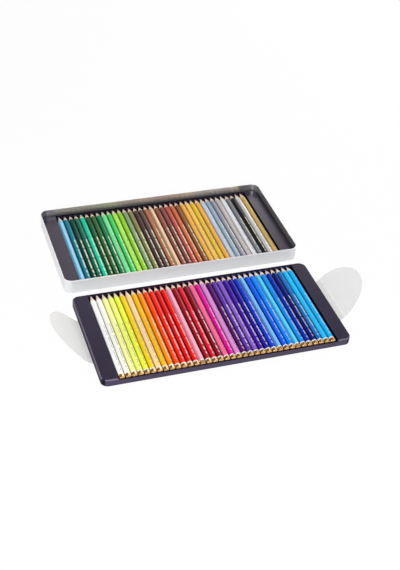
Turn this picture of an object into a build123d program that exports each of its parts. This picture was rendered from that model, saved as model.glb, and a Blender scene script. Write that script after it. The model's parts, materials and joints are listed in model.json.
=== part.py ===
from build123d import *
from math import cos, pi, radians, sin, sqrt, tan
import os

# A shallow metal tin of coloured pencils, opened out for use. The tin stands at the
# rear with its lower tray inside. The upper tray has been lifted out and lies in
# front of it on its lifting film, whose two pull tabs have sprung up.
# Millimetres. +X runs along the rows of pencils, +Y to the rear, +Z up.
# The origin is under the middle of the whole set, on the table.

# Pencils: hexagonal, one corner up, with a sharpened point and a dipped blunt end.
# The point is cut in flats, one for each side and each corner of the hexagon.
pencil_length = 175.0
pencil_flats = 7.4
hexagon_sides = 6
point_length = 15.0
lead_radius = 1.9
tip_radius = 0.35
dip_chamfer = 0.9
pencils_per_tray = 36
lower_group_size = 3

# Rows: the space round each pencil in its tray
pencil_gap = 1.16
groove_slope = 30.0
groove_clearance = 0.2
end_room = 0.5
point_room = 0.9
side_room = 3.5

# Trays: a thin moulded sheet with a skirt, two end lands and a grooved bed
tray_sheet = 0.8
rail_wall = 1.2
end_land = 20.5
land_above_axis = 2.4
front_rail_above_axis = 0.2
rail_ramp = 3.0
bed_foot = 2.35
tray_corner = 10.0
tray_edge = 0.8
recess_corner = 2.0
side_rib_out = 0.4
side_rib_root = 2.4
side_rib_face = 1.6
side_rib_foot = 1.8
side_rib_set_back = 13.0

# Tin: one drawn sheet, its rim turned inwards
tin_sheet = 0.3
tin_clearance = 1.3
tin_bottom_edge = 1.5
hem_thickness = 0.9
hem_depth = 2.2
hem_bevel = 0.3
rim_above_trays = 1.75
trays_in_tin = 2
seat_clearance = 0.05

# Lifting film: a strip under the tray, and at each end a riser strip and a tongue
film_sheet = 0.35
film_width = 90.0
film_set_back = 3.0
crease_out = 0.95
crease_gap = 0.25
fold_room = 0.35
riser_tilt = 40.0
tongue_reach = 52.0
tongue_tilt = 46.0

# Where the tin and the upper tray stand
tray_to_tin = 20.3
tin_shift = 2.2

# Worked out from the sizes above
pencil_radius = pencil_flats / sqrt(3)
pitch = pencil_flats + pencil_gap
row_half = (pencils_per_tray - 1) / 2 * pitch
recess_half = row_half + pencil_flats / 2 + side_room
slope = radians(groove_slope)
bed_drop = tray_sheet / cos(slope)
groove_height = bed_foot + bed_drop
crest_height = groove_height + pitch / 2 * tan(slope)
axis_height = groove_height + groove_clearance / cos(slope) + pencil_radius
tray_height = axis_height + land_above_axis
tray_width = 2 * (recess_half + end_land)
tray_depth = 2 * rail_wall + end_room + pencil_length + point_room
tin_width = tray_width + 2 * (tin_clearance + tin_sheet)
tin_depth = tray_depth + 2 * (tin_clearance + tin_sheet)
tin_corner = tray_corner + tin_clearance + tin_sheet
tin_height = tin_sheet + trays_in_tin * tray_height + rim_above_trays
whole_depth = tray_depth + tray_to_tin + tin_depth
upper_y = tray_depth / 2 - whole_depth / 2
lower_y = whole_depth / 2 - tin_depth / 2
lower_x = -tin_shift
upper_z = film_sheet + seat_clearance
lower_z = tin_sheet + seat_clearance
film_y = upper_y + film_set_back
crease_z = film_sheet / 2
riser_length = upper_z + axis_height + pencil_radius + fold_room

# Cutting shapes reach past what they cut by this much
past = 1.0


def rounded_block(width, depth, corner, bottom, top):
    """An upright block with rounded corners, centred on Z."""
    outline = Plane.XY.offset(bottom) * RectangleRounded(width, depth, corner)
    return extrude(outline, top - bottom)


def lengthwise(points, start, end):
    """A profile of (x, z) points, carried along Y from start to end."""
    face = Plane.XZ.offset(-start) * make_face(Polyline(points, close=True))
    return extrude(face, -(end - start))


def row_places():
    """The x of each pencil's axis in a tray centred on the origin."""
    return [n * pitch - row_half for n in range(pencils_per_tray)]


def bed_line(drop):
    """The grooved bed from left to right, lowered by drop."""
    line = [(-recess_half, crest_height - drop)]
    for x in row_places():
        line.append((x - pitch / 2, crest_height - drop))
        line.append((x, groove_height - drop))
    line.append((row_half + pitch / 2, crest_height - drop))
    line.append((recess_half, crest_height - drop))
    return line


def tray():
    """The moulded tray, centred on the origin with its skirt's foot at z = 0."""
    body = rounded_block(tray_width, tray_depth, tray_corner, 0, tray_height)
    body = chamfer(body.edges().group_by(Axis.Z)[-1], tray_edge)
    front = -tray_depth / 2
    rear = tray_depth / 2
    inside = tray_depth - 2 * rail_wall

    # The sheet's underside: under the lands, down their inner walls, along the bed
    under_half = tray_width / 2 - tray_sheet
    wall = recess_half + tray_sheet
    land_under = tray_height - tray_sheet
    under = [(-under_half, -past), (-under_half, land_under), (-wall, land_under)]
    under.append((-wall, crest_height - bed_drop))
    under += bed_line(bed_drop)[1:-1]
    under.append((wall, crest_height - bed_drop))
    under += [(wall, land_under), (under_half, land_under), (under_half, -past)]
    hollow = rounded_block(
        2 * under_half, inside, tray_corner - tray_sheet, -past, tray_height
    )
    hollow &= lengthwise(under, front, rear)

    # The recess that the pencils lie in
    above = tray_height + past
    over = [(-recess_half, above)] + bed_line(0) + [(recess_half, above)]
    recess = rounded_block(2 * recess_half, inside, recess_corner, 0, above)
    recess &= lengthwise(over, front, rear)

    # The front rail is cut down between the lands, with a ramp at each end
    rail = axis_height + front_rail_above_axis
    low_half = recess_half - recess_corner
    high_half = low_half + rail_ramp * (above - rail) / (tray_height - rail)
    dip = [(-high_half, above), (-low_half, rail), (low_half, rail), (high_half, above)]
    cut_down = lengthwise(dip, front - past, front + rail_wall + recess_corner)

    # A shallow rib along each short side keeps the stacked trays from jamming
    middle = side_rib_foot + side_rib_root / 2
    half_length = tray_depth / 2 - side_rib_set_back
    rib = [
        (tray_width / 2 - tray_sheet / 2, middle - side_rib_root / 2),
        (tray_width / 2 + side_rib_out, middle - side_rib_face / 2),
        (tray_width / 2 + side_rib_out, middle + side_rib_face / 2),
        (tray_width / 2 - tray_sheet / 2, middle + side_rib_root / 2),
    ]
    right_rib = lengthwise(rib, -half_length, half_length)
    ribs = right_rib + mirror(right_rib, Plane.YZ)
    return body - hollow - recess - cut_down + ribs


def tin():
    """The drawn tin, centred on the origin with its foot at z = 0."""
    shell = rounded_block(tin_width, tin_depth, tin_corner, 0, tin_height)
    shell = fillet(shell.edges().group_by(Axis.Z)[0], tin_bottom_edge)
    inner_width = tin_width - 2 * tin_sheet
    inner_depth = tin_depth - 2 * tin_sheet
    inner_corner = tin_corner - tin_sheet
    hem_foot = tin_height - hem_depth
    space = rounded_block(inner_width, inner_depth, inner_corner, tin_sheet, hem_foot)
    space = chamfer(space.edges().group_by(Axis.Z)[0], tin_bottom_edge - tin_sheet)
    mouth = rounded_block(
        tin_width - 2 * hem_thickness,
        tin_depth - 2 * hem_thickness,
        tin_corner - hem_thickness,
        hem_foot - past,
        tin_height + past,
    )
    shell = shell - space - mouth
    return chamfer(shell.edges().group_by(Axis.Z)[-1], hem_bevel)


def pencil():
    """Casing and lead of one pencil: axis on Y, blunt end at y = 0, a corner up."""
    hexagon = Plane.XZ * RegularPolygon(pencil_radius, hexagon_sides, rotation=90)
    blank = extrude(hexagon, -pencil_length)
    blank = chamfer(blank.edges().group_by(Axis.Y)[0], dip_chamfer)

    # Each flat of the point is cut by a plane that leans in towards the tip
    taper = (pencil_radius - tip_radius) / point_length
    point_sides = 2 * hexagon_sides
    for n in range(point_sides):
        turn = 2 * pi * n / point_sides
        foot = (tip_radius * cos(turn), pencil_length, tip_radius * sin(turn))
        cutter = Plane(foot, z_dir=(cos(turn), taper, sin(turn)))
        blank = split(blank, cutter, keep=Keep.BOTTOM)

    # The lead shows from where the flats come down to its radius
    shoulder = Plane.XZ.offset((lead_radius - tip_radius) / taper - pencil_length)
    casing = split(blank, shoulder, keep=Keep.TOP)
    lead = split(blank, shoulder, keep=Keep.BOTTOM)
    return [casing.solid(), lead.solid()]


def pencil_place(number, tray_x, tray_y, tray_z):
    """Where pencil number, counted from the left, lies in a tray at that place."""
    x = tray_x + row_places()[number]
    y = tray_y - tray_depth / 2 + rail_wall + end_room
    return Pos(x, y, tray_z + axis_height)


def film_strip():
    """The film under the upper tray, out to the lower crease at each side."""
    half = tray_width / 2 + crease_out - crease_gap
    strip = Plane.XY * Rectangle(2 * half, film_width)
    return Pos(0, film_y, 0) * extrude(strip, film_sheet)


def flap(outline, tilt, crease_x, crease_height, side):
    """A flat film piece that leaves a crease outwards at a tilt, on side -1 or 1."""
    sheet = Pos(0, 0, -film_sheet / 2) * extrude(outline, film_sheet)
    sheet = Pos(crease_x, film_y, crease_height) * Rot(0, -tilt, 0) * sheet
    return sheet if side > 0 else mirror(sheet, Plane.YZ)


def riser(side):
    """The strip as tall as a loaded tray, between the two creases."""
    outline = Pos(riser_length / 2, 0) * Rectangle(
        riser_length - 2 * crease_gap, film_width
    )
    return flap(outline, riser_tilt, tray_width / 2 + crease_out, crease_z, side)


def tongue(side):
    """The half-oval pull tab beyond the upper crease."""
    oval = Ellipse(tongue_reach, film_width / 2)
    keep = Pos(crease_gap + tongue_reach, 0) * Rectangle(2 * tongue_reach, film_width)
    tilt = radians(riser_tilt)
    crease_x = tray_width / 2 + crease_out + riser_length * cos(tilt)
    crease_height = crease_z + riser_length * sin(tilt)
    return flap(oval & keep, tongue_tilt, crease_x, crease_height, side)


def save(name, solids):
    """Writes one named piece."""
    export_step(Compound(children=solids), f"parts/{name}.step")


os.makedirs("parts", exist_ok=True)

moulded_tray = tray()
save("tin_base", [(Pos(lower_x, lower_y, 0) * tin()).solid()])
save("lower_tray", [(Pos(lower_x, lower_y, lower_z) * moulded_tray).solid()])
save("upper_tray", [(Pos(0, upper_y, upper_z) * moulded_tray).solid()])
save("film_strip", [film_strip().solid()])
for side, hand in ((-1, "left"), (1, "right")):
    save(f"{hand}_film_riser", [riser(side).solid()])
    save(f"{hand}_pull_tab", [tongue(side).solid()])

sharpened = pencil()
for number in range(pencils_per_tray):
    place = pencil_place(number, 0, upper_y, upper_z)
    save(f"upper_pencil_{number + 1:02d}", [place * piece for piece in sharpened])

for first in range(0, pencils_per_tray, lower_group_size):
    last = min(first + lower_group_size, pencils_per_tray)
    group = []
    for number in range(first, last):
        place = pencil_place(number, lower_x, lower_y, lower_z)
        group += [place * piece for piece in sharpened]
    save(f"lower_pencils_{first + 1:02d}_{last:02d}", group)
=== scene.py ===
"""The looks of an opened tin of coloured pencils, built round its CAD model."""

import json
import math
import random

import bmesh
import bpy
from mathutils import Matrix, Vector


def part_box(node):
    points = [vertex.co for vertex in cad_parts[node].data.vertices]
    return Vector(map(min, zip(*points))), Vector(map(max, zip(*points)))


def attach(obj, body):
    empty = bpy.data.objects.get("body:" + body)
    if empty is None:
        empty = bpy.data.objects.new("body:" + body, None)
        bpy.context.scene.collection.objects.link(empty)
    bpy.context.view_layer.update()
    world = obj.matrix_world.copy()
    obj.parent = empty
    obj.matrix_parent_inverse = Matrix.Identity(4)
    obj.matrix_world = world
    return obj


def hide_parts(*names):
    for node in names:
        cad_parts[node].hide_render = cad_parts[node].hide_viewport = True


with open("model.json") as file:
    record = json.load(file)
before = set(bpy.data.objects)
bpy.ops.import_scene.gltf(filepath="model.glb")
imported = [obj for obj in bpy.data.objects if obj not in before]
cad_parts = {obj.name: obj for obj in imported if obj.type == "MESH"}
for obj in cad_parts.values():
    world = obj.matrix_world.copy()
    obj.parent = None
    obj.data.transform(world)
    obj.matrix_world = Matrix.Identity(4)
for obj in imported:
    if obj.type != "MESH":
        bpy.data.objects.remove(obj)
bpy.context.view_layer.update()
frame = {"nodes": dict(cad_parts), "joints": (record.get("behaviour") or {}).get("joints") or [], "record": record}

bl_info = {
    "name": "Coloured Pencil Tin",
    "version": (1, 0, 0),
    "blender": (4, 5, 0),
    "location": "View3D > Sidebar > Pencil Tin",
    "description": "Dresses the tin, its trays, the lifting film and the pencils",
    "category": "Object",
}

MM = 0.001

# Points of a mesh that lie nearer than this are one point.
WELD = 0.001 * MM

# The colours of the pencils from left to right, as they are seen, from 0 to 255.
UPPER_COLOURS = (
    ("white", (250, 250, 248)),
    ("ivory", (250, 249, 234)),
    ("pale_yellow", (250, 249, 164)),
    ("lemon", (240, 250, 118)),
    ("lime_yellow", (238, 246, 62)),
    ("golden_yellow", (250, 208, 8)),
    ("peach", (255, 216, 160)),
    ("amber", (255, 188, 6)),
    ("orange", (255, 146, 6)),
    ("red_orange", (255, 72, 6)),
    ("vermilion", (246, 36, 8)),
    ("red", (224, 12, 14)),
    ("bright_red", (246, 6, 8)),
    ("light_pink", (255, 170, 192)),
    ("dark_red", (164, 6, 18)),
    ("crimson", (222, 16, 46)),
    ("maroon", (138, 8, 32)),
    ("hot_pink", (255, 104, 152)),
    ("magenta", (222, 18, 156)),
    ("lilac", (214, 140, 214)),
    ("dark_purple", (90, 14, 108)),
    ("violet_blue", (98, 52, 174)),
    ("lavender", (134, 90, 200)),
    ("indigo_violet", (62, 20, 164)),
    ("indigo", (36, 22, 160)),
    ("ultramarine", (8, 58, 210)),
    ("sky_blue", (116, 184, 255)),
    ("blue", (6, 94, 236)),
    ("azure", (4, 134, 255)),
    ("light_azure", (84, 208, 255)),
    ("mid_azure", (14, 144, 238)),
    ("royal_blue", (8, 48, 174)),
    ("navy", (10, 24, 120)),
    ("steel_blue", (22, 112, 192)),
    ("bright_cerulean", (20, 192, 255)),
    ("cerulean", (8, 176, 244)),
)
LOWER_COLOURS = (
    ("light_sky", (146, 218, 252)),
    ("teal_blue", (8, 132, 156)),
    ("dark_teal", (8, 70, 58)),
    ("sea_green", (10, 114, 88)),
    ("turquoise", (26, 212, 168)),
    ("bottle_green", (32, 90, 50)),
    ("forest_green", (48, 108, 50)),
    ("emerald", (12, 132, 80)),
    ("mint", (124, 238, 156)),
    ("green", (72, 216, 102)),
    ("lime", (182, 245, 92)),
    ("grass_green", (150, 214, 42)),
    ("grey_green", (140, 168, 120)),
    ("olive", (140, 134, 78)),
    ("dark_brown", (86, 58, 56)),
    ("grey_brown", (106, 80, 75)),
    ("rust", (186, 116, 80)),
    ("tan", (238, 196, 158)),
    ("brown", (152, 88, 72)),
    ("red_brown", (140, 76, 68)),
    ("brick", (204, 88, 76)),
    ("burnt_orange", (212, 110, 66)),
    ("dark_sienna", (148, 92, 58)),
    ("yellow_orange", (248, 182, 70)),
    ("golden", (252, 202, 96)),
    ("ochre_yellow", (236, 196, 54)),
    ("gold_orange", (242, 178, 70)),
    ("pale_blue_grey", (194, 209, 229)),
    ("blue_grey", (158, 178, 194)),
    ("grey", (156, 158, 172)),
    ("warm_grey", (200, 190, 188)),
    ("silver_white", (228, 229, 233)),
    ("dark_grey", (128, 128, 136)),
    ("black", (34, 32, 34)),
    ("silver_grey", (240, 236, 240)),
    ("gold", (238, 202, 120)),
)

# The faint tint of what the dark plastic mirrors.
PLASTIC_SHEEN = (0.98, 0.86, 1.0, 1.0)

# Pencils whose paint is metallic.
METAL_PAINTS = ("silver_grey", "gold")

# Pencils, counted from the left, that lie with a flat side up and no foil showing.
UPPER_FLAT_UP = (14, 27, 30)
LOWER_FLAT_UP = (1, 18)

# The foil on the darker pencils, which looks warmer and greener in the tin.
UPPER_FOIL = (238, 228, 228)
LOWER_FOIL = (238, 244, 212)

# Seven foil marks: where each starts and ends, in millimetres from the blunt end, the
# length that they are laid out on, and how far a pencil's whole row may be shifted.
FOIL_MARKS = (14.5, 18.5, 22, 30, 33.5, 55, 58.5, 82, 85.5, 93, 94, 96.5, 98, 106)
FOIL_SPAN = 175.0
FOIL_SHIFT = 1.5

# Paint is pale where its mean linear brightness is over this, and its foil shows less.
PALE_FROM = 0.45

# How far a pencil may be turned in its groove, in degrees.
LOOSE_TURN = 2.5
TURN_SEED = 7

# The soft round lamps: the place, the width in metres and the power in watts.
LAMPS = (
    ("top", (-0.2, -0.3, 1.6), 1.0, 5.0),
    ("left", (-1.5, 0.0, 0.22), 0.5, 4.0),
    ("front", (-0.4, -1.25, 1.05), 0.8, 17.5),
    ("key", (1.3, 0.45, 0.95), 0.8, 7.0),
    ("rim", (1.03, 1.15, 0.42), 0.7, 2.6),
    ("back", (0.53, 1.69, 0.93), 0.75, 5.2),
)

# What the camera looks at, and the width of its sensor in millimetres.
CAMERA_TARGET = (13.6 * MM, -15.8 * MM, 0.0)
SENSOR_WIDTH = 36.0

# The floor's half width, and how far it lies below the object.
FLOOR_HALF = 6.0
FLOOR_DROP = 0.02 * MM

# The order of the materials on the pencils, the trays and the tin.
LACQUER, GOLD, WHITE, WOOD, LEAD = range(5)
PLASTIC, EDGE, PAINTED_SHADE, PAINTED_LIGHT_SKIRT = range(4)
INSIDE, OUTSIDE, RIM = range(3)


def linear(colour):
    """A colour as it is seen, from 0 to 255, in the linear values that shaders use."""
    knee, slope, offset, power = 0.04045, 12.92, 0.055, 2.4
    parts = [part / 255 for part in colour]
    return tuple(
        part / slope if part <= knee else ((part + offset) / (1 + offset)) ** power
        for part in parts
    )


def shade(colour, amount):
    """The same colour, lighter or darker by a factor, and opaque."""
    return (*(min(1.0, part * amount) for part in colour[:3]), 1.0)


class Value:
    """A number that varies over a surface: a node's output that takes arithmetic."""

    def __init__(self, finish, socket):
        self.finish = finish
        self.socket = socket

    def maths(self, operation, *numbers):
        """A Math node on values and plain numbers."""
        sockets = dict(enumerate(numbers))
        return self.finish.value("Math", {"operation": operation}, sockets)

    def __add__(self, other):
        return self.maths("ADD", self, other)

    def __radd__(self, other):
        return self.maths("ADD", other, self)

    def __sub__(self, other):
        return self.maths("SUBTRACT", self, other)

    def __rsub__(self, other):
        return self.maths("SUBTRACT", other, self)

    def __mul__(self, other):
        return self.maths("MULTIPLY", self, other)

    def __rmul__(self, other):
        return self.maths("MULTIPLY", other, self)

    def __truediv__(self, other):
        return self.maths("DIVIDE", self, other)

    def __rtruediv__(self, other):
        return self.maths("DIVIDE", other, self)

    def __mod__(self, other):
        return self.maths("FLOORED_MODULO", self, other)

    def __gt__(self, other):
        return self.maths("GREATER_THAN", self, other)

    def __lt__(self, other):
        return self.maths("LESS_THAN", self, other)

    def __abs__(self):
        return self.maths("ABSOLUTE", self)

    def between(self, low, high):
        """0 below low, 1 above high, and a smooth rise from one to the other."""
        settings = {"interpolation_type": "SMOOTHSTEP"}
        sockets = {"Value": self, "From Min": low, "From Max": high}
        return self.finish.value("MapRange", settings, sockets)


class Finish:
    """A material, or the world, that is put together from nodes."""

    def __init__(self, owner):
        self.owner = owner
        owner.use_nodes = True
        self.tree = owner.node_tree
        self.tree.nodes.clear()

    @classmethod
    def material(cls, name):
        return cls(bpy.data.materials.new(name))

    def feed(self, socket, value):
        """Links a value to a socket, or sets the socket where the value is plain."""
        if isinstance(value, Value):
            value = value.socket
        if isinstance(value, bpy.types.NodeSocket):
            self.tree.links.new(value, socket)
        else:
            socket.default_value = value

    def node(self, kind, settings, sockets):
        """Any node: its type, its settings, and what its sockets hold or are fed."""
        made = self.tree.nodes.new("ShaderNode" + kind)
        for name, setting in settings.items():
            if name == "stops":
                self.set_stops(made.color_ramp, setting)
            else:
                setattr(made, name, setting)
        for name, value in sockets.items():
            self.feed(made.inputs[name], value)
        return made

    def value(self, kind, settings, sockets, output=0):
        """One output of any node, as a value that takes arithmetic."""
        return Value(self, self.node(kind, settings, sockets).outputs[output])

    @staticmethod
    def set_stops(ramp, stops):
        """Stops are (place, grey) pairs, held level from each place to the next."""
        ramp.interpolation = "CONSTANT"
        while len(ramp.elements) > 1:
            ramp.elements.remove(ramp.elements[-1])
        for place, grey in stops:
            element = ramp.elements.new(place)
            element.color = (grey, grey, grey, 1.0)

    def mix(self, factor, first, second):
        """A colour between two colours."""
        sockets = {0: factor, 6: first, 7: second}
        return self.value("Mix", {"data_type": "RGBA"}, sockets, output=2)

    def place(self, kind="Object"):
        """Where a point of the surface lies on its own piece, in metres."""
        return self.node("TexCoord", {}, {}).outputs[kind]

    def axes(self, kind="Object"):
        """The same place as three values."""
        parts = self.node("SeparateXYZ", {}, {"Vector": self.place(kind)})
        return [Value(self, socket) for socket in parts.outputs]

    def noise(self, size, stretch=(1.0, 1.0, 1.0), detail=3.0):
        """Soft noise, from 0 to 1, with spots about size metres across."""
        mapped = self.node(
            "Mapping", {}, {"Vector": self.place(), "Scale": stretch}
        ).outputs[0]
        sockets = {"Vector": mapped, "Scale": 1.0 / size, "Detail": detail}
        return self.value("TexNoise", {}, sockets)

    def bump(self, height, depth):
        """A normal from a height, from 0 to 1, that stands for depth metres."""
        return self.node("Bump", {}, {"Height": height, "Distance": depth}).outputs[0]

    def surface(self, sockets):
        """Ends the material in a principled surface."""
        shader = self.node("BsdfPrincipled", {}, sockets)
        self.node("OutputMaterial", {}, {"Surface": shader.outputs[0]})
        return self.owner


class PencilSizes(bpy.types.PropertyGroup):
    flats: bpy.props.FloatProperty(
        name="Across flats", default=7.4 * MM, unit="LENGTH",
        description="Thickness of a pencil between two flat sides",
    )
    rounding: bpy.props.FloatProperty(
        name="Edge rounding", default=0.55 * MM, unit="LENGTH",
        description="Radius of the lacquered long edges",
    )
    point_length: bpy.props.FloatProperty(
        name="Point length", default=15.0 * MM, unit="LENGTH",
        description="Length of the sharpened point up to the corners",
    )
    lead_radius: bpy.props.FloatProperty(
        name="Lead radius", default=1.9 * MM, unit="LENGTH",
        description="Radius of the coloured lead",
    )
    tip_radius: bpy.props.FloatProperty(
        name="Tip radius", default=0.35 * MM, unit="LENGTH",
        description="Radius of the lead at its blunted tip",
    )
    gold_length: bpy.props.FloatProperty(
        name="Gold dip", default=5.6 * MM, unit="LENGTH",
        description="Length of the gold paint on the blunt end",
    )
    ring_length: bpy.props.FloatProperty(
        name="White ring", default=1.9 * MM, unit="LENGTH",
        description="Length of the white ring next to the gold",
    )
    dome_depth: bpy.props.FloatProperty(
        name="Dome", default=0.7 * MM, unit="LENGTH",
        description="How far the dipped end is rounded back",
    )
    paint: bpy.props.FloatProperty(
        name="Paint thickness", default=0.04 * MM, unit="LENGTH",
        description="Height of each dip's edge over the coat below it",
    )
    foil_height: bpy.props.FloatProperty(
        name="Foil height", default=3.0 * MM, unit="LENGTH",
        description="Width of the row of foil bars across its side",
    )
    foil_place: bpy.props.FloatProperty(
        name="Foil place", default=0.5 * MM, unit="LENGTH",
        description="How far the row of foil lies from the middle of its side",
    )


class TraySizes(bpy.types.PropertyGroup):
    colour: bpy.props.FloatVectorProperty(
        name="Upper tray colour", default=linear((39, 32, 54)), subtype="COLOR", size=3,
        description="Dark plastic of the tray that lies in front",
    )
    lower_colour: bpy.props.FloatVectorProperty(
        name="Lower tray colour", default=linear((36, 28, 47)), subtype="COLOR", size=3,
        description="Dark plastic of the tray in the tin",
    )
    rounding: bpy.props.FloatProperty(
        name="Tray edge rounding", default=0.18 * MM, unit="LENGTH",
        description="Radius of the moulded edges",
    )
    corner: bpy.props.FloatProperty(
        name="Tray corner radius", default=10.0 * MM, unit="LENGTH",
        description="Radius of the upright corners",
    )
    flare: bpy.props.FloatProperty(
        name="Flare", default=0.4 * MM, unit="LENGTH",
        description="How far the stacking ribs stand out at the ends",
    )
    slope: bpy.props.FloatProperty(
        name="Slope", default=0.8 * MM, unit="LENGTH",
        description="Width of the sloping edge in the plain moulding",
    )
    slope_gain: bpy.props.FloatProperty(
        name="Slope gain", default=0.9 * MM, unit="LENGTH",
        description="How much wider the sloping edge is made",
    )
    # Down to this depth the sloping top edge is painted: a painted highlight on the upper tray and painted shade
    # on the lower one.
    edge_depth: bpy.props.FloatProperty(
        name="Polished edge", default=0.85 * MM, unit="LENGTH",
        description="How far down the polished top edge reaches",
    )
    bed_half: bpy.props.FloatProperty(
        name="Half bed", default=157.0 * MM, unit="LENGTH",
        description="From the middle of the tray to the end of its bed",
    )
    first_groove: bpy.props.FloatProperty(
        name="First groove", default=154.08 * MM, unit="LENGTH",
        description="From the middle of the tray to the edge of its first groove",
    )
    lap: bpy.props.FloatProperty(
        name="Land lap", default=2.2 * MM, unit="LENGTH",
        description="How far the left land reaches over the bed's end",
    )
    wall: bpy.props.FloatProperty(
        name="Outer wall", default=2.0 * MM, unit="LENGTH",
        description="Width of the outer band that keeps the plain finish",
    )


class TinSizes(bpy.types.PropertyGroup):
    colour: bpy.props.FloatVectorProperty(
        name="Tin colour", default=linear((229, 229, 231)), subtype="COLOR", size=3,
        description="Bare satin metal inside the tin",
    )
    outside: bpy.props.FloatVectorProperty(
        name="Outer colour", default=linear((227, 228, 230)), subtype="COLOR", size=3,
        description="Silver lacquer on the outer wall",
    )
    # The rim's lighter colour, on the rolled rim and the band under it, is a painted highlight.
    rim: bpy.props.FloatVectorProperty(
        name="Rim colour", default=linear((248, 247, 250)), subtype="COLOR", size=3,
        description="Rolled rim, where the lacquer shines most",
    )
    sheet: bpy.props.FloatProperty(
        name="Sheet", default=0.3 * MM, unit="LENGTH",
        description="Thickness of the metal sheet",
    )
    corner: bpy.props.FloatProperty(
        name="Corner radius", default=11.6 * MM, unit="LENGTH",
        description="Radius of the tin's upright corners",
    )
    foot: bpy.props.FloatProperty(
        name="Bottom edge radius", default=1.5 * MM, unit="LENGTH",
        description="Radius between the wall and the bottom",
    )
    hem: bpy.props.FloatProperty(
        name="Hem thickness", default=0.9 * MM, unit="LENGTH",
        description="Thickness of the rolled rim",
    )
    # The band of the outer wall under the rim that takes the rim's painted highlight.
    bright: bpy.props.FloatProperty(
        name="Bright band", default=0.9 * MM, unit="LENGTH",
        description="Height of the polished band under the rim",
    )
    hem_depth: bpy.props.FloatProperty(
        name="Hem depth", default=2.2 * MM, unit="LENGTH",
        description="How far the rolled rim reaches down inside",
    )


class FilmSizes(bpy.types.PropertyGroup):
    colour: bpy.props.FloatVectorProperty(
        name="Film colour", default=linear((223, 222, 221)), subtype="COLOR", size=3,
        description="Milky plastic of the lifting film",
    )
    cover: bpy.props.FloatProperty(
        name="Film cover", default=0.36, min=0.0, max=1.0, subtype="FACTOR",
        description="How much of what lies behind the film it hides",
    )
    sheet: bpy.props.FloatProperty(
        name="Film thickness", default=0.35 * MM, unit="LENGTH",
        description="Thickness of the film",
    )
    reach: bpy.props.FloatProperty(
        name="Tab reach", default=51.98 * MM, unit="LENGTH",
        description="Length of a pull tab beyond its crease",
    )
    tilt: bpy.props.FloatProperty(
        name="Tab tilt", default=math.radians(46.0), subtype="ANGLE",
        description="Angle of the pull tabs over the table",
    )


class StageSettings(bpy.types.PropertyGroup):
    azimuth: bpy.props.FloatProperty(
        name="Azimuth", default=math.radians(-20.964), subtype="ANGLE",
        description="Side that the camera looks from, with 0 in front",
    )
    elevation: bpy.props.FloatProperty(
        name="Elevation", default=math.radians(38.209), subtype="ANGLE",
        description="Angle of the camera above the table",
    )
    roll: bpy.props.FloatProperty(
        name="Roll", default=math.radians(4.616), subtype="ANGLE",
        description="Tilt of the picture",
    )
    distance: bpy.props.FloatProperty(
        name="Distance", default=1596.0 * MM, unit="LENGTH",
        description="From the camera to the point that it looks at",
    )
    lens: bpy.props.FloatProperty(
        name="Lens", default=68.891,
        description="Focal length on a 36 mm sensor, in millimetres",
    )
    floor_white: bpy.props.FloatProperty(
        name="Floor white", default=0.94, min=0.0, max=1.0, subtype="FACTOR",
        description="Share of plain white in the floor, the rest takes shadows",
    )


def link_object(name, mesh):
    """Puts a mesh in the scene as a piece of its own."""
    piece = bpy.data.objects.new(name, mesh)
    bpy.context.scene.collection.objects.link(piece)
    return piece


def finished(piece, body, slot, *nodes):
    """Sets a finished piece on its body, in place of its CAD nodes."""
    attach(piece, body)
    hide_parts(*nodes)


def keep_flats_flat(piece):
    """Shades rounded edges smoothly without bending the light on the flats."""
    modifier = piece.modifiers.new("flats", "WEIGHTED_NORMAL")
    modifier.keep_sharp = True


def skin(bm, rings):
    """Closed rings of points joined by faces: the rings, and the faces of each gap."""
    made = [[bm.verts.new(point) for point in ring] for ring in rings]
    gaps = []
    for near, far in zip(made, made[1:]):
        count = len(near)
        gap = []
        for i in range(count):
            j = (i + 1) % count
            gap.append(bm.faces.new((near[i], near[j], far[j], far[i])))
        gaps.append(gap)
    return made, gaps


def write_mesh(bm, name):
    """Turns built faces into a mesh, with all of them facing out."""
    bmesh.ops.recalc_face_normals(bm, faces=bm.faces)
    mesh = bpy.data.meshes.new(name)
    bm.to_mesh(mesh)
    bm.free()
    return mesh


def hexagon_points(flats, rounding):
    """A rounded hexagon with a corner up, as (x, z) points round it."""
    arc_steps, side_steps = 4, 6
    centre_radius = (flats / 2 - rounding) / math.cos(math.radians(30))
    points = []
    for corner in range(6):
        middle = math.radians(90 + 60 * corner)
        centre = (centre_radius * math.cos(middle), centre_radius * math.sin(middle))
        arc = []
        for step in range(arc_steps + 1):
            turn = middle + math.radians(60) * (step / arc_steps - 0.5)
            x = centre[0] + rounding * math.cos(turn)
            z = centre[1] + rounding * math.sin(turn)
            arc.append(Vector((x, z)))
        points += arc
        ahead = math.radians(60)
        x, z = arc[0]
        after = Vector((
            x * math.cos(ahead) - z * math.sin(ahead),
            x * math.sin(ahead) + z * math.cos(ahead),
        ))
        for step in range(1, side_steps):
            points.append(arc[-1].lerp(after, step / side_steps))
    return points


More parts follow.
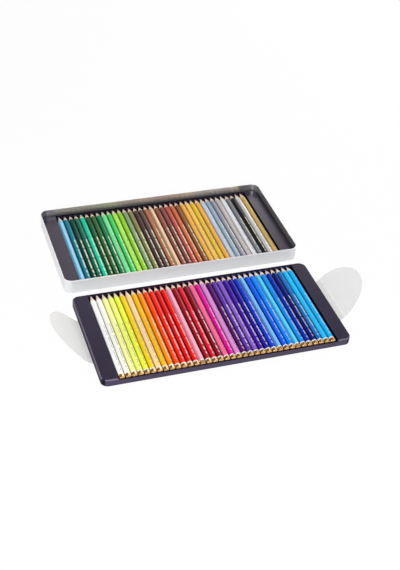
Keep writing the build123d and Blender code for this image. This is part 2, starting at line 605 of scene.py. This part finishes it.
def pencil_mesh(sizes, length):
    """A sharpened hexagonal pencil along +Y, with its blunt end at y = 0."""
    outline = hexagon_points(sizes.flats, sizes.rounding)
    taper_radius = sizes.flats / math.sqrt(3)
    taper = (taper_radius - sizes.tip_radius) / sizes.point_length
    rings = []
    zones = []

    def ring(zone, place):
        """The next ring, and the material from it to the one after."""
        rings.append([place(point) for point in outline])
        zones.append(zone)

    def coat(y, thickness):
        """Round the casing, at a thickness of paint over the lacquer."""
        def place(point):
            x, z = point * (1 + thickness / point.length)
            return Vector((x, y, z))
        return place

    def dome(share):
        """On the rounded blunt end: share 0 at its middle and 1 at its edge."""
        def place(point):
            blend = share * point.length + (1 - share) * sizes.flats / 2
            x, z = point.normalized() * (share * blend + sizes.paint)
            y = sizes.dome_depth * (1 - math.sqrt(1 - share * share))
            return Vector((x, y, z))
        return place

    def cut(share):
        """On the sharpened cone: share 0 at the lacquer's edge and 1 at the lead."""
        def place(point):
            radius = point.length + (sizes.lead_radius - point.length) * share
            x, z = point.normalized() * radius
            return Vector((x, length - (radius - sizes.tip_radius) / taper, z))
        return place

    def tip(radius, back):
        """On the lead, at a radius and a distance back from its tip."""
        def place(point):
            x, z = point.normalized() * radius
            return Vector((x, length - back, z))
        return place

    ring_end = sizes.gold_length + sizes.ring_length
    for share in (0.3, 0.6, 0.8, 0.92, 0.98, 1.0):
        ring(GOLD, dome(share))
    ring(GOLD, coat(sizes.gold_length, 2 * sizes.paint))
    ring(WHITE, coat(sizes.gold_length, sizes.paint))
    ring(WHITE, coat(ring_end, sizes.paint))
    ring(LACQUER, coat(ring_end, 0.0))
    for share in (0.0, 0.35, 0.7):
        ring(WOOD, cut(share))
    ring(LEAD, cut(1.0))
    for width, back in ((2.0, 1 / taper), (1.0, 0.3), (0.6, 0.08)):
        ring(LEAD, tip(sizes.tip_radius * width, sizes.tip_radius * back))

    bm = bmesh.new()
    made, gaps = skin(bm, rings)
    for zone, gap in zip(zones, gaps):
        for face in gap:
            face.material_index = zone
            face.smooth = True
    for y, ends, zone in ((0.0, made[0], GOLD), (length, made[-1], LEAD)):
        middle = bm.verts.new((0.0, y, 0.0))
        for i, vert in enumerate(ends):
            face = bm.faces.new((vert, ends[(i + 1) % len(ends)], middle))
            face.material_index = zone
            face.smooth = True
    for edge in bm.edges:
        if len({face.material_index for face in edge.link_faces}) > 1:
            edge.smooth = False
    return write_mesh(bm, "pencil")


def foil_mask(finish, axes, sizes, shift, pale):
    """1 on the foil bars, which lie in a row on the side that faces up right."""
    x, y, z = axes
    side = math.radians(60)
    out = x * math.cos(side) + z * math.sin(side)
    across = z * math.cos(side) - x * math.sin(side)
    on_side = out > sizes.flats / 2 - 0.1 * MM
    reach = sizes.foil_height * (0.3 if pale else 0.46)
    in_row = abs(across - sizes.foil_place) < reach
    stops = [(0.0, 0.0)]
    for i, edge in enumerate(FOIL_MARKS):
        stops.append(((edge + shift) / FOIL_SPAN, (i + 1) % 2))
    along = y / (FOIL_SPAN * MM)
    marked = finish.value("ValToRGB", {"stops": stops}, {"Fac": along})
    step = (3.2 if pale else 1.3) * MM
    filled = step * (0.85 if pale else 0.73)
    return on_side * in_row * marked * ((y % step) < filled)


def lacquer_finish(name, colour, sizes, seed, bright_foil):
    """Glossy lacquer with painted shade on the upright sides, down in the gaps between pencils, and a row of foil
    bars.
    """
    finish = Finish.material("lacquer_" + name)
    brightness = sum(colour) / 3
    pale = brightness > PALE_FROM
    axes = finish.axes()
    shift = random.Random(seed).uniform(-FOIL_SHIFT, FOIL_SHIFT)
    foil = foil_mask(finish, axes, sizes, shift, pale)

    # Painted shade: the paint is darkened where a side stands upright, halfway up the pencil, down in the gaps
    # between pencils, and most on the darker colours.
    cloud = finish.noise(6 * MM, (1.0, 0.3, 1.0))
    gap_shade = 1 - abs(axes[2]).between(1.6 * MM, 3.4 * MM)
    thin = finish.mix(cloud, shade(colour, 0.96), shade(colour, 1.08))
    depth = min(0.92, max(0.1, 1.6 * brightness - 0.2))
    paint = finish.mix(gap_shade, thin, shade(colour, depth))

    # The foil's own colour, with the share of the paint's that it takes on.
    shine = 0.85 if pale else 0.9 - 0.4 * max(colour)
    metal = linear((132, 130, 126) if pale else bright_foil)
    tint = [(1 - shine) * own + shine * bare for own, bare in zip(colour, metal)]
    metallic = foil * 0.25
    if name in METAL_PAINTS:
        metallic += 0.5
    peel = finish.noise(0.8 * MM, detail=2.0)
    return finish.surface({
        "Base Color": finish.mix(foil, paint, (*tint, 1.0)),
        "Metallic": metallic,
        "Roughness": 0.3 + cloud * 0.06 + foil * 0.05,
        "Specular IOR Level": 0.22,
        "Normal": finish.bump(peel + foil * 0.4, 0.008 * MM),
    })


def lead_finish(name, colour):
    """The dull, slightly grainy face of a sharpened coloured lead."""
    finish = Finish.material("lead_" + name)
    grain = finish.noise(0.35 * MM, detail=4.0)
    chalk = linear((244, 232, 214))
    share = 0.28
    colour = [(1 - share) * own + share * pale for own, pale in zip(colour, chalk)]
    return finish.surface({
        "Base Color": finish.mix(grain, shade(colour, 0.72), shade(colour, 1.0)),
        "Roughness": 0.55 + grain * 0.2,
        "Specular IOR Level": 0.35,
        "Normal": finish.bump(grain, 0.03 * MM),
    })


def wood_finish():
    """Fine pale wood, cut along its grain by the sharpener."""
    finish = Finish.material("pencil_wood")
    grain = finish.noise(0.5 * MM, (1.0, 0.06, 1.0), 4.0)
    broad = finish.noise(3 * MM, (1.0, 0.2, 1.0))
    pale = (*linear((252, 234, 216)), 1.0)
    dark = (*linear((232, 204, 180)), 1.0)
    return finish.surface({
        "Base Color": finish.mix(grain * 0.7 + broad * 0.3, pale, dark),
        "Roughness": 0.62 + grain * 0.15,
        "Specular IOR Level": 0.3,
        "Normal": finish.bump(grain, 0.05 * MM),
    })


def gold_finish():
    """Metallic gold paint that the blunt ends are dipped in."""
    finish = Finish.material("gold_paint")
    flake = finish.noise(0.12 * MM, detail=2.0)
    cloud = finish.noise(3 * MM)
    light = (*linear((244, 206, 146)), 1.0)
    dark = (*linear((186, 130, 66)), 1.0)
    return finish.surface({
        "Base Color": finish.mix(cloud * 0.6 + flake * 0.4, light, dark),
        "Metallic": 1.0,
        "Roughness": 0.26 + flake * 0.08,
        "Normal": finish.bump(flake, 0.01 * MM),
    })


def white_finish():
    """The white ring beside the gold."""
    finish = Finish.material("white_paint")
    cloud = finish.noise(2 * MM)
    light = (*linear((252, 250, 244)), 1.0)
    dark = (*linear((238, 234, 224)), 1.0)
    return finish.surface({
        "Base Color": finish.mix(cloud, light, dark),
        "Roughness": 0.28 + cloud * 0.1,
        "Normal": finish.bump(cloud, 0.01 * MM),
    })


def tray_finish(name, colour, ior):
    """Satin moulded plastic with a very fine grain and a few dull patches."""
    finish = Finish.material("tray_plastic_" + name)
    grain = finish.noise(0.25 * MM, detail=2.0)
    cloud = finish.noise(40 * MM)
    return finish.surface({
        "Base Color": finish.mix(cloud, shade(colour, 0.9), shade(colour, 1.12)),
        "Roughness": 0.3 + cloud * 0.04 + grain * 0.04,
        "IOR": ior,
        "Specular Tint": PLASTIC_SHEEN,
        "Normal": finish.bump(grain, 0.015 * MM),
    })


def tray_edge_finish(name, colour):
    """Painted highlight: the same plastic, lightened towards grey in uneven patches on its sloping top edge, where
    light catches it.
    """
    finish = Finish.material("tray_edge_" + name)
    highlight_cloud = finish.noise(4 * MM)
    # The pale grey that is added to the plastic is the painted highlight.
    grey = linear((112, 104, 118))
    painted_highlight = [own + pale for own, pale in zip(colour, grey)]
    return finish.surface({
        "Base Color": finish.mix(highlight_cloud, shade(painted_highlight, 0.7), shade(painted_highlight, 1.1)),
        "Roughness": 0.3 + highlight_cloud * 0.1,
        "Normal": finish.bump(highlight_cloud, 0.01 * MM),
    })


def tray_shade_finish(name, colour):
    """Painted shade: the same plastic, darkened nearly to black, for the deep bed of the grooves and for faces
    that lie in shade.
    """
    finish = Finish.material("tray_bed_" + name)
    cloud = finish.noise(6 * MM)
    return finish.surface({
        "Base Color": finish.mix(cloud, shade(colour, 0.16), shade(colour, 0.26)),
        "Roughness": 0.3 + cloud * 0.1,
        "IOR": 1.15,
        "Normal": finish.bump(cloud, 0.02 * MM),
    })


def tin_finish(name, colour, metal, gloss):
    """Satin silver on tinplate, with faint rolling marks along the sheet."""
    finish = Finish.material(name)
    rolled = finish.noise(0.6 * MM, (0.03, 1.0, 1.0), 4.0)
    cloud = finish.noise(30 * MM)
    return finish.surface({
        "Base Color": finish.mix(cloud, shade(colour, 0.95), shade(colour, 1.04)),
        "Metallic": metal,
        "Roughness": 1 - gloss + rolled * 0.03 + cloud * 0.05,
        "Normal": finish.bump(rolled, 0.003 * MM),
    })


def film_finish(name, colour, cover, crease):
    """Frosted, milky plastic film, white and a little less clear along the right tab's crease."""
    finish = Finish.material(name)
    frost = finish.noise(0.4 * MM, detail=3.0)
    cloud = finish.noise(25 * MM)
    milk = finish.mix(cloud, shade(colour, 0.97), shade(colour, 1.02))
    crease_band = 0.7 * MM
    white = abs(finish.axes()[0] - crease) < crease_band
    return finish.surface({
        "Base Color": finish.mix(white, milk, (1.0, 1.0, 1.0, 1.0)),
        "Roughness": 0.36 + frost * 0.12,
        "Alpha": cover + white * 0.1,
        "Normal": finish.bump(frost, 0.01 * MM),
    })


def rounded_loop(centre, width, depth, corner, z):
    """Points round a rounded rectangle at one height."""
    corner_steps = 12
    points = []
    for quarter, (side_x, side_y) in enumerate(((1, 1), (-1, 1), (-1, -1), (1, -1))):
        middle_x = centre.x + side_x * (width / 2 - corner)
        middle_y = centre.y + side_y * (depth / 2 - corner)
        for step in range(corner_steps + 1):
            turn = math.radians(90) * (quarter + step / corner_steps)
            x = middle_x + corner * math.cos(turn)
            y = middle_y + corner * math.sin(turn)
            points.append(Vector((x, y, z)))
    return points


def arc_profile(centre, radius, start, end, steps):
    """Points (inset, height) on an arc between two angles in degrees."""
    profile = []
    for step in range(steps + 1):
        turn = math.radians(start + (end - start) * step / steps)
        inset = centre[0] + radius * math.cos(turn)
        height = centre[1] + radius * math.sin(turn)
        profile.append((inset, height))
    return profile


def tin_mesh(sizes):
    """The drawn tin: bottom, rounded foot, wall, rolled rim and inside."""
    low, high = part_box("tin_base")
    centre = (low + high) / 2
    width, depth, top = high.x - low.x, high.y - low.y, high.z
    foot_steps, roll_steps, curl_steps = 6, 8, 4
    roll = sizes.hem / 2
    curl = sizes.sheet
    hem_foot = top - sizes.hem_depth
    inner_foot = sizes.foot - sizes.sheet
    foot = (sizes.foot, sizes.foot)
    profile = arc_profile(foot, sizes.foot, 270, 180, foot_steps)
    profile.append((0.0, top - sizes.hem - sizes.bright))
    profile += arc_profile((roll, top - roll), roll, 180, 0, roll_steps)
    inner = (sizes.hem - curl, hem_foot + curl)
    profile += arc_profile(inner, curl, 0, -90, curl_steps)
    profile.append((sizes.sheet, hem_foot))
    profile += arc_profile(foot, inner_foot, 180, 270, foot_steps)
    loops = []
    for inset, height in profile:
        loops.append(rounded_loop(
            centre, width - 2 * inset, depth - 2 * inset, sizes.corner - inset, height
        ))
    bm = bmesh.new()
    made, gaps = skin(bm, loops)
    rim_start = foot_steps + 1
    outer = [bm.faces.new(made[0])]
    for gap in gaps[:rim_start]:
        outer += gap
    bm.faces.new(made[-1])
    for face in bm.faces:
        face.smooth = True
        face.material_index = INSIDE
    for face in outer:
        face.material_index = OUTSIDE
    # The band under the rim and most of the rolled rim take the rim's finish, a painted highlight.
    for gap in gaps[rim_start:rim_start + roll_steps]:
        for face in gap:
            face.material_index = RIM
    return write_mesh(bm, "tin")


def widen_slope(bm, low, high, sizes):
    """Draws the rim of the flat land in, so that the slope outside it is wider."""
    inset = Vector((sizes.corner + sizes.flare, sizes.corner))
    level, slack = 0.01 * MM, 0.05 * MM
    for vert in bm.verts:
        if vert.co.z < high.z - level:
            continue
        core = Vector((
            min(max(vert.co.x, low.x + inset.x), high.x - inset.x),
            min(max(vert.co.y, low.y + inset.y), high.y - inset.y),
            vert.co.z,
        ))
        out = vert.co - core
        if out.length > sizes.corner - sizes.slope - slack:
            vert.co -= out.normalized() * sizes.slope_gain


def softened_mesh(node, low, high, sizes):
    """A copy of a CAD tray's mesh with its sharp edges rounded over."""
    bm = bmesh.new()
    bm.from_mesh(frame["nodes"][node].data)
    flat, sharp = math.radians(1), math.radians(20)
    bmesh.ops.remove_doubles(bm, verts=bm.verts, dist=WELD)
    bmesh.ops.dissolve_limit(bm, angle_limit=flat, verts=bm.verts, edges=bm.edges)
    widen_slope(bm, low, high, sizes)
    edges = [e for e in bm.edges if e.is_manifold and e.calc_face_angle() > sharp]
    bmesh.ops.bevel(
        bm, geom=edges, offset=sizes.rounding, segments=2, profile=0.5,
        affect="EDGES", clamp_overlap=True,
    )
    for face in bm.faces:
        face.smooth = True
    return write_mesh(bm, node)


def lap_land(mesh, middle, sizes):
    """Draws the left end of the bed in, so that its land ends beside the first pencil."""
    groove = middle - sizes.first_groove
    wall = middle - sizes.bed_half
    land_end = wall - 1.2 * MM
    for vertex in mesh.vertices:
        x = vertex.co.x
        if land_end < x < groove:
            vertex.co.x += sizes.lap * min(1.0, (groove - x) / (groove - wall))


class TINBOX_OT_tin(bpy.types.Operator):
    """Make the metal tin with its rolled rim"""
    bl_idname = "tinbox.tin"
    bl_label = "Tin"

    def execute(self, context):
        sizes = context.scene.tinbox_tin
        mesh = tin_mesh(sizes)
        finishes = (
            ("tin_metal", sizes.colour, 0.92, 0.72),
            ("tin_outside", sizes.outside, 0.3, 0.58),
            # The rim's lighter colour is a painted highlight.
            ("tin_rim", sizes.rim, 0.2, 0.76),
        )
        for name, colour, metal, gloss in finishes:
            mesh.materials.append(tin_finish(name, tuple(colour), metal, gloss))
        piece = link_object("tin", mesh)
        keep_flats_flat(piece)
        finished(piece, "tin", "tin_metal", "tin_base")
        return {"FINISHED"}


class TINBOX_OT_trays(bpy.types.Operator):
    """Make both moulded trays with rounded edges"""
    bl_idname = "tinbox.trays"
    bl_label = "Trays"

    def execute(self, context):
        sizes = context.scene.tinbox_tray
        trays = (("upper", sizes.colour, 1.32), ("lower", sizes.lower_colour, 1.56))
        # Painted light: the front skirt takes a lighter copy of the plastic, as the face that turns to the front.
        skirt_painted_light, skirt_ior = 1.6, 1.5
        for level, colour, ior in trays:
            node = level + "_tray"
            low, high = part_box(node)
            mesh = softened_mesh(node, low, high, sizes)
            lap_land(mesh, (low.x + high.x) / 2, sizes)
            skirt = shade(colour, skirt_painted_light)[:3]
            finishes = (
                tray_finish(level, tuple(colour), ior),
                tray_edge_finish(level, tuple(colour)),
                tray_shade_finish(level, tuple(colour)),
                tray_finish(level + "_skirt", skirt, skirt_ior),
            )
            mesh.materials.clear()
            for finish in finishes:
                mesh.materials.append(finish)
            self.mark_faces(mesh, low, high, sizes, level == "upper")
            piece = link_object("moulded_" + node, mesh)
            keep_flats_flat(piece)
            finished(piece, node, "tray_plastic", node)
        return {"FINISHED"}

    @staticmethod
    def mark_faces(mesh, low, high, sizes, upper):
        """Gives a tray's faces their finishes: painted shade on the deep bed, on outer faces that turn to the
        sides and back and on the lower tray's sloping top edge, a painted highlight on the upper tray's sloping
        top edge, and painted light on the front skirt.
        """
        top = high.z - sizes.edge_depth
        steep, level = 0.4, 0.97
        aslant, upright = 0.3, 0.8
        for face in mesh.polygons:
            x, y, z = face.center
            margin = min(x - low.x, high.x - x, y - low.y, high.y - y)
            inside = margin > sizes.wall
            across, along, up = face.normal
            sloping = steep < up < level and z > top and not inside
            turned_away = across > aslant or across < -upright or along > aslant
            if (z < top and inside) or (turned_away and not inside):
                face.material_index = PAINTED_SHADE
            elif sloping:
                face.material_index = EDGE if upper else PAINTED_SHADE
            elif along < -upright and not inside:
                face.material_index = PAINTED_LIGHT_SKIRT
            else:
                face.material_index = PLASTIC


def joint_place(name):
    """The point that a joint turns about."""
    joint = next(j for j in frame["joints"] if j["name"] == name)
    return Vector(joint["pos_m"])


def film_sheet(name, grid, sheet):
    """A thin closed sheet from a grid of points, its rows joined side by side."""
    bm = bmesh.new()
    rows = [[bm.verts.new(point) for point in row] for row in grid]
    for near, far in zip(rows, rows[1:]):
        for i in range(len(near) - 1):
            face = bm.faces.new((near[i], near[i + 1], far[i + 1], far[i]))
            face.smooth = True
    bmesh.ops.remove_doubles(bm, verts=bm.verts, dist=WELD)
    piece = link_object(name, write_mesh(bm, name))
    solid = piece.modifiers.new("sheet", "SOLIDIFY")
    solid.thickness = sheet
    solid.offset = 0.0
    solid.material_offset_rim = 1
    keep_flats_flat(piece)
    return piece


def crease_bead(name, place, width, radius):
    """The slightly raised line of a crease, along Y."""
    steps = 10
    rings = []
    for y in (-width / 2, width / 2):
        ring = []
        for step in range(steps):
            turn = 2 * math.pi * step / steps
            offset = Vector((radius * math.cos(turn), y, radius * math.sin(turn)))
            ring.append(place + offset)
        rings.append(ring)
    bm = bmesh.new()
    made, gaps = skin(bm, rings)
    for face in gaps[0]:
        face.smooth = True
    bm.faces.new(made[0])
    bm.faces.new(made[-1])
    return link_object(name, write_mesh(bm, name))


class TINBOX_OT_film(bpy.types.Operator):
    """Make the lifting film's risers and pull tabs, and finish the strip"""
    bl_idname = "tinbox.film"
    bl_label = "Lifting Film"

    def execute(self, context):
        sizes = context.scene.tinbox_film
        crease = joint_place("right_tab_crease").x
        colour, cover = tuple(sizes.colour), sizes.cover
        plastic = film_finish("lifting_film", colour, cover, crease)
        # Painted light: the cut edges and crease beads are lighter and more see-through than the sheet, against
        # the shade that gathers on them.
        edge_colour = shade(colour, 1.15)[:3]
        edge_cover = cover * 0.3
        cut = film_finish("film_cut_edge", edge_colour, edge_cover, crease)
        strip = frame["nodes"]["film_strip"]
        strip.data.materials.clear()
        strip.data.materials.append(plastic)
        low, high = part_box("film_strip")
        width = high.y - low.y
        for side, hand in ((-1, "left"), (1, "right")):
            foot = joint_place(hand + "_riser_crease")
            fold = joint_place(hand + "_tab_crease")
            rise = self.riser(hand, foot, fold, width, sizes)
            tab = self.tab(hand, side, fold, width, sizes)
            beads = []
            for level, place, thick in (("low", foot, 0.5), ("high", fold, 0.75)):
                name = f"film_{hand}_crease_{level}"
                beads.append(crease_bead(name, place, width, sizes.sheet * thick))
            body = hand + "_riser"
            for piece in beads:
                piece.data.materials.append(cut)
            for piece in (rise, tab):
                piece.data.materials.append(plastic)
                piece.data.materials.append(cut)
            for piece in (rise, *beads):
                finished(piece, body, "clear_film", hand + "_film_riser")
            finished(tab, hand + "_tab", "clear_film", hand + "_pull_tab")
        return {"FINISHED"}

    @staticmethod
    def riser(hand, foot, fold, width, sizes):
        """A flat strip that stands from the lower crease up to the tab's crease."""
        across, upward = 12, 4
        grid = []
        for level in range(upward + 1):
            middle = foot.lerp(fold, level / upward)
            row = []
            for i in range(across + 1):
                y = width * (i / across - 0.5)
                row.append(middle + Vector((0.0, y, 0.0)))
            grid.append(row)
        return film_sheet(f"film_{hand}_riser", grid, sizes.sheet)

    @staticmethod
    def tab(hand, side, fold, width, sizes):
        """A half oval, very slightly bowed, that fans out from its crease."""
        bow = 0.7 * MM
        rings, steps = 10, 48
        along = Vector((side * math.cos(sizes.tilt), 0.0, math.sin(sizes.tilt)))
        normal = Vector((-side * math.sin(sizes.tilt), 0.0, math.cos(sizes.tilt)))
        grid = []
        for ring in range(rings + 1):
            share = ring / rings
            row = []
            for step in range(steps + 1):
                turn = math.pi * (step / steps - 0.5)
                reach = sizes.reach * share * math.cos(turn)
                y = width / 2 * share * math.sin(turn)
                part = reach / sizes.reach
                lift = bow * 4 * part * (1 - part)
                row.append(fold + along * reach + normal * lift + Vector((0.0, y, 0.0)))
            grid.append(row)
        return film_sheet(f"film_{hand}_tab", grid, sizes.sheet)


def pencil_piece(name, mesh, materials, box, roll):
    """One pencil in its place, with its own materials and a turn about its length."""
    low, high = box
    own = mesh.copy()
    own.name = name
    for material in materials:
        own.materials.append(material)
    piece = link_object(name, own)
    piece.location = ((low.x + high.x) / 2, low.y, (low.z + high.z) / 2)
    piece.rotation_euler = (0.0, roll, 0.0)
    keep_flats_flat(piece)
    return piece


class TINBOX_OT_pencils(bpy.types.Operator):
    """Make all the pencils of both trays"""
    bl_idname = "tinbox.pencils"
    bl_label = "Pencils"

    def execute(self, context):
        sizes = context.scene.tinbox_pencil
        low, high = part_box("upper_pencil_01")
        mesh = pencil_mesh(sizes, high.y - low.y)
        shared = [gold_finish(), white_finish(), wood_finish()]
        rng = random.Random(TURN_SEED)
        slots = {s["node"]: s["material_slot"] for s in frame["record"]["subparts"]}
        rows = (
            ("upper", UPPER_COLOURS, UPPER_FLAT_UP, UPPER_FOIL, 1),
            ("lower", LOWER_COLOURS, LOWER_FLAT_UP, LOWER_FOIL, 3),
        )
        for level, colours, flat_up, foil, group in rows:
            for number, (colour_name, seen) in enumerate(colours, start=1):
                node, box = self.cad_place(level, number, group)
                colour = linear(seen)
                lacquer = lacquer_finish(colour_name, colour, sizes, number, foil)
                lead = lead_finish(colour_name, colour)
                roll = math.radians(rng.uniform(-LOOSE_TURN, LOOSE_TURN))
                if number in flat_up:
                    roll += math.radians(30)
                piece = pencil_piece(
                    f"{level}_{number:02d}_{colour_name}", mesh,
                    [lacquer, *shared, lead], box, roll,
                )
                finished(piece, node, slots[node], node)
        return {"FINISHED"}

    @staticmethod
    def cad_place(level, number, group):
        """The node that holds a pencil, and the box of that one pencil in it."""
        if group == 1:
            node = f"{level}_pencil_{number:02d}"
            return node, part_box(node)
        first = (number - 1) // group * group + 1
        node = f"{level}_pencils_{first:02d}_{first + group - 1:02d}"
        low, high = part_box(node)
        one_low, one_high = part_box("upper_pencil_01")
        width = one_high.x - one_low.x
        pitch = (high.x - low.x - width) / (group - 1)
        left = low.x + (number - first) * pitch
        box = (Vector((left, low.y, low.z)), Vector((left + width, high.y, high.z)))
        return node, box


def area_lamp(name, place, size, power):
    """A soft round lamp, turned to the middle of the scene."""
    lamp = bpy.data.lights.new(name, "AREA")
    lamp.shape = "DISK"
    lamp.size = size
    lamp.energy = power
    made = bpy.data.objects.new(name, lamp)
    bpy.context.scene.collection.objects.link(made)
    made.location = place
    aim = Vector((0.0, 0.0, 0.0)) - Vector(place)
    made.rotation_mode = "QUATERNION"
    made.rotation_quaternion = aim.to_track_quat("-Z", "Y")


class TINBOX_OT_stage(bpy.types.Operator):
    """Make the camera, the floor, the lamps and the world"""
    bl_idname = "tinbox.stage"
    bl_label = "Stage"

    def execute(self, context):
        settings = context.scene.tinbox_stage
        self.camera(context.scene, settings)
        self.floor(settings)
        self.world(context.scene)
        for name, place, size, power in LAMPS:
            area_lamp(name, place, size, power)
        context.scene.view_settings.view_transform = "Standard"
        return {"FINISHED"}

    @staticmethod
    def camera(scene, settings):
        """The camera at the photograph's angle, rolled about its line of sight."""
        azimuth, elevation = settings.azimuth, settings.elevation
        back = Vector((
            math.sin(azimuth) * math.cos(elevation),
            -math.cos(azimuth) * math.cos(elevation),
            math.sin(elevation),
        ))
        level = Vector((math.cos(azimuth), math.sin(azimuth), 0.0))
        upright = back.cross(level)
        cosine, sine = math.cos(settings.roll), math.sin(settings.roll)
        right = cosine * level + sine * upright
        up = cosine * upright - sine * level
        data = bpy.data.cameras.new("camera")
        data.lens = settings.lens
        data.sensor_width = SENSOR_WIDTH
        camera = bpy.data.objects.new("camera", data)
        scene.collection.objects.link(camera)
        turn = Matrix((right, up, back)).transposed().to_4x4()
        place = Vector(CAMERA_TARGET) + back * settings.distance
        camera.matrix_world = Matrix.Translation(place) @ turn
        scene.camera = camera

    @staticmethod
    def floor(settings):
        """A white floor that is plain to the camera and still takes soft shadows."""
        bm = bmesh.new()
        bmesh.ops.create_grid(bm, x_segments=1, y_segments=1, size=FLOOR_HALF)
        floor = link_object("floor", write_mesh(bm, "floor"))
        floor.location.z = -FLOOR_DROP
        finish = Finish.material("floor")
        path = finish.node("LightPath", {}, {})
        seen = Value(finish, path.outputs["Is Camera Ray"])
        glossy = Value(finish, path.outputs["Is Glossy Ray"])
        through = Value(finish, path.outputs["Is Transmission Ray"])
        plain = finish.node("Emission", {}, {"Color": (1.0, 1.0, 1.0, 1.0)})
        matt = finish.node("BsdfDiffuse", {}, {"Color": (0.9, 0.9, 0.9, 1.0)})
        share = (seen + glossy + through) * settings.floor_white
        mixed = finish.node(
            "MixShader", {}, {0: share, 1: matt.outputs[0], 2: plain.outputs[0]}
        )
        finish.node("OutputMaterial", {}, {"Surface": mixed.outputs[0]})
        floor.data.materials.append(finish.owner)

    @staticmethod
    def world(scene):
        """A room with pale walls all round under a darker ceiling, seen as white."""
        scene.world = bpy.data.worlds.new("studio")
        finish = Finish(scene.world)
        path = finish.node("LightPath", {}, {})
        seen = Value(finish, path.outputs["Is Camera Ray"])
        height = finish.axes("Generated")[2]
        wall_light, ceiling_loss = 0.95, 0.7
        wall_top, ceiling = 0.12, 0.42
        room = wall_light - height.between(wall_top, ceiling) * ceiling_loss
        light = finish.node("Background", {}, {"Strength": room + (1.0 - room) * seen})
        finish.node("OutputWorld", {}, {"Surface": light.outputs[0]})


OPERATORS = (
    TINBOX_OT_stage,
    TINBOX_OT_tin,
    TINBOX_OT_trays,
    TINBOX_OT_film,
    TINBOX_OT_pencils,
)

SETTINGS = {
    "tinbox_pencil": PencilSizes,
    "tinbox_tray": TraySizes,
    "tinbox_tin": TinSizes,
    "tinbox_film": FilmSizes,
    "tinbox_stage": StageSettings,
}


class TINBOX_PT_panel(bpy.types.Panel):
    """Lists the pieces of the pencil tin and their sizes"""
    bl_idname = "TINBOX_PT_panel"
    bl_label = "Pencil Tin"
    bl_space_type = "VIEW_3D"
    bl_region_type = "UI"
    bl_category = "Pencil Tin"

    def draw(self, context):
        for operator in OPERATORS:
            self.layout.operator(operator.bl_idname)
        for name, group in SETTINGS.items():
            box = self.layout.box()
            for key in group.__annotations__:
                box.prop(getattr(context.scene, name), key)


def register():
    for name, group in SETTINGS.items():
        bpy.utils.register_class(group)
        setattr(bpy.types.Scene, name, bpy.props.PointerProperty(type=group))
    for operator in OPERATORS:
        bpy.utils.register_class(operator)
    bpy.utils.register_class(TINBOX_PT_panel)


def unregister():
    bpy.utils.unregister_class(TINBOX_PT_panel)
    for operator in reversed(OPERATORS):
        bpy.utils.unregister_class(operator)
    for name, group in SETTINGS.items():
        delattr(bpy.types.Scene, name)
        bpy.utils.unregister_class(group)


def main():
    register()
    bpy.ops.tinbox.stage()
    bpy.ops.tinbox.tin()
    bpy.ops.tinbox.trays()
    bpy.ops.tinbox.film()
    bpy.ops.tinbox.pencils()


if __name__ == "__main__":
    main()
